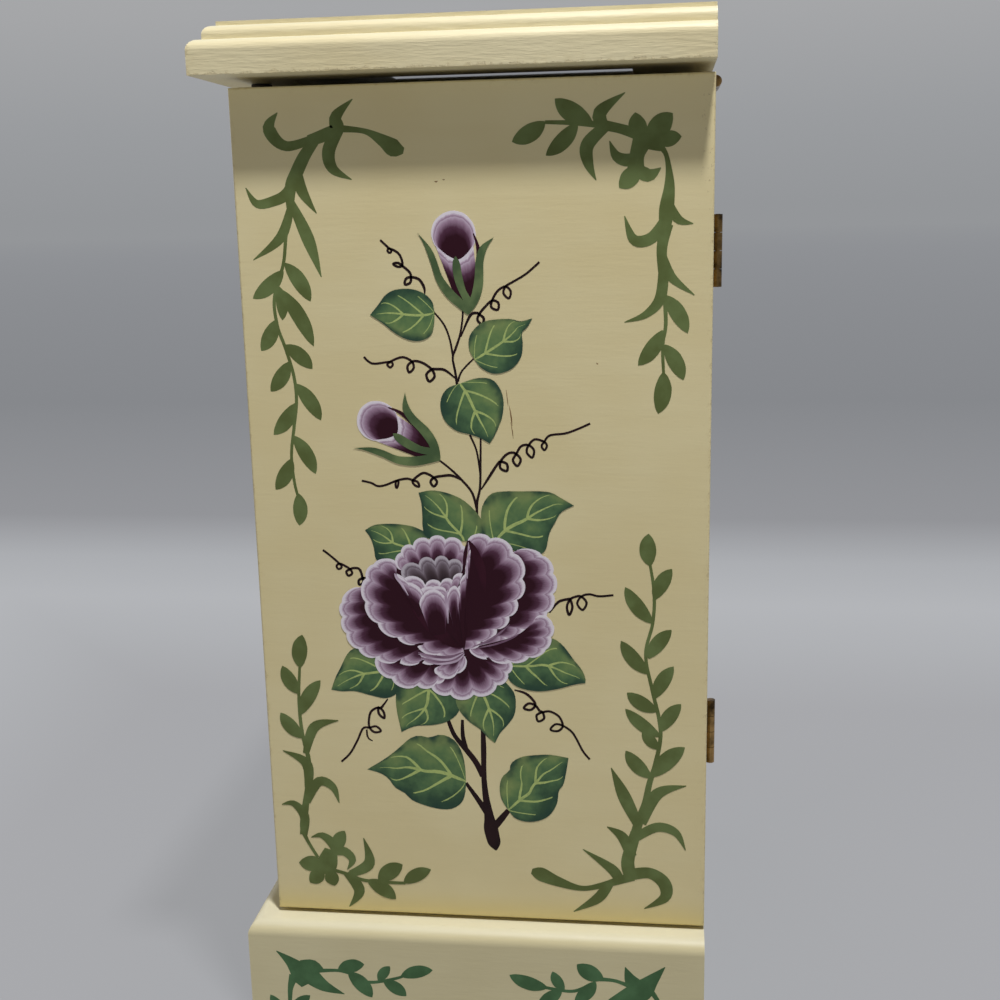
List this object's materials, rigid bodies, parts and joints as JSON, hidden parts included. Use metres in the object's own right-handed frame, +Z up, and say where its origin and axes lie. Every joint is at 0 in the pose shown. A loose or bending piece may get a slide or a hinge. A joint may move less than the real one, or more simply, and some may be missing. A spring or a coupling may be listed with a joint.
{
  "type": "musical jewelry box",
  "caption": "Tall painted jewelry box with a moulded lift-up lid over a mirror, side doors for necklaces, front drawers and a wind-up musical movement",
  "frame": {"origin": "centre of the felt under the plinth, level with the surface the box stands on", "axes": "+X to the box's right, the side with the pictured door; -Y to the front with the drawers; +Z up"},
  "size_m": [0.251, 0.1947, 0.4071],
  "materials": {
    "cream_paint": "satin paint with hand-painted flowers",
    "bare_wood": "sanded and sealed",
    "felt": "pressed felt",
    "velvet": "short pile velvet",
    "mirror": "silvered glass",
    "brass": "polished and lacquered",
    "screw_steel": "plated",
    "movement_metal": "nickel plated",
    "clear_plastic": "clear moulded"
  },
  "bodies": {
    "cabinet": {"base_sides": "cream_paint", "base_bottom": "cream_paint", "base_back": "cream_paint", "base_top": "cream_paint", "back_panel": "cream_paint", "pilasters": "cream_paint", "partitions": "cream_paint", "tray_front": "cream_paint", "drawer_shelves": "bare_wood", "tray_floor": "bare_wood", "base_felt": "felt", "lid_bumpers": "felt", "tray_lining": "velvet", "ring_rolls": "velvet", "door_hinge_fixed_leaves": "brass", "lid_hinge_fixed_leaves": "brass", "hinge_pins": "brass", "cabinet_screws": "screw_steel", "comb_screws": "screw_steel", "catch_magnets": "screw_steel", "movement_plate": "movement_metal", "governor_frame": "movement_metal", "spring_housing": "movement_metal", "comb": "movement_metal", "movement_cover": "clear_plastic"},
    "lid": {"lid_board": "cream_paint", "lid_mirror": "mirror", "lid_hinge_leaves": "brass", "lid_screws": "screw_steel"},
    "winding": {"winding_arbor": "movement_metal", "winding_key": "movement_metal"},
    "cylinder": {"music_cylinder": "brass"},
    "governor_wheel": {"governor_wheel": "brass"},
    "fan": {"governor_fan": "brass"},
    "stop_pin": {"stop_pin": "screw_steel"},
    "right_door": {"right_door_panel": "cream_paint", "right_door_hinge_leaves": "brass", "right_door_fasteners": "screw_steel", "right_hook_strip": "brass", "right_pocket": "velvet"},
    "left_door": {"left_door_panel": "cream_paint", "left_door_hinge_leaves": "brass", "left_door_fasteners": "screw_steel", "left_hook_strip": "brass", "left_pocket": "velvet"},
    "drawer_1": {"drawer_1_front": "cream_paint", "drawer_1_box": "bare_wood", "drawer_1_knob": "brass"},
    "drawer_2": {"drawer_2_front": "cream_paint", "drawer_2_box": "bare_wood", "drawer_2_knob": "brass"},
    "drawer_3": {"drawer_3_front": "cream_paint", "drawer_3_box": "bare_wood", "drawer_3_knob": "brass"},
    "drawer_4": {"drawer_4_front": "cream_paint", "drawer_4_box": "bare_wood", "drawer_4_knob": "brass"},
    "base_drawer": {"base_drawer_front": "cream_paint", "base_drawer_box": "bare_wood", "base_drawer_knob": "brass"}
  },
  "joints": [
    {"name": "lid_hinge", "type": "hinge", "parent": "cabinet", "child": "lid", "pos_m": [0, 0.08575, 0.3878], "axis": [-1, 0, 0], "range_deg": [0, 95]},
    {"name": "right_door_hinge", "type": "hinge", "parent": "cabinet", "child": "right_door", "pos_m": [0.1042, 0.0852, 0.0735], "axis": [0, 0, 1], "range_deg": [0, 170]},
    {"name": "left_door_hinge", "type": "hinge", "parent": "cabinet", "child": "left_door", "pos_m": [-0.1042, 0.0852, 0.0735], "axis": [0, 0, -1], "range_deg": [0, 170]},
    {"name": "drawer_1_slide", "type": "slide", "parent": "cabinet", "child": "drawer_1", "axis": [0, -1, 0], "range_m": [0, 0.1]},
    {"name": "drawer_2_slide", "type": "slide", "parent": "cabinet", "child": "drawer_2", "axis": [0, -1, 0], "range_m": [0, 0.1]},
    {"name": "drawer_3_slide", "type": "slide", "parent": "cabinet", "child": "drawer_3", "axis": [0, -1, 0], "range_m": [0, 0.1]},
    {"name": "drawer_4_slide", "type": "slide", "parent": "cabinet", "child": "drawer_4", "axis": [0, -1, 0], "range_m": [0, 0.1]},
    {"name": "base_drawer_slide", "type": "slide", "parent": "cabinet", "child": "base_drawer", "axis": [0, -1, 0], "range_m": [0, 0.11]},
    {"name": "key_turn", "type": "hinge", "parent": "cabinet", "child": "winding", "pos_m": [-0.044, 0.0835, 0.3611], "axis": [0, 1, 0], "continuous": true},
    {"name": "cylinder_spin", "type": "hinge", "parent": "cabinet", "child": "cylinder", "pos_m": [-0.029, 0.05845, 0.3611], "axis": [1, 0, 0], "continuous": true},
    {"name": "governor_spin", "type": "hinge", "parent": "cabinet", "child": "governor_wheel", "pos_m": [-0.0033, 0.06471, 0.3555], "axis": [1, 0, 0], "continuous": true},
    {"name": "fan_spin", "type": "hinge", "parent": "cabinet", "child": "fan", "pos_m": [0.0034, 0.05831, 0.3555], "axis": [0, 0, 1], "continuous": true},
    {"name": "stop_pin_slide", "type": "slide", "parent": "cabinet", "child": "stop_pin", "axis": [0, 0, 1], "range_m": [0, 0.003]}
  ],
  "couplings": [
    {"joint": "cylinder_spin", "follows": "key_turn", "ratio": -3.75},
    {"joint": "governor_spin", "follows": "key_turn", "ratio": 15},
    {"joint": "fan_spin", "follows": "key_turn", "ratio": 105},
    {"joint": "stop_pin_slide", "follows": "lid_hinge", "m_per_rad": 0.0018}
  ]
}
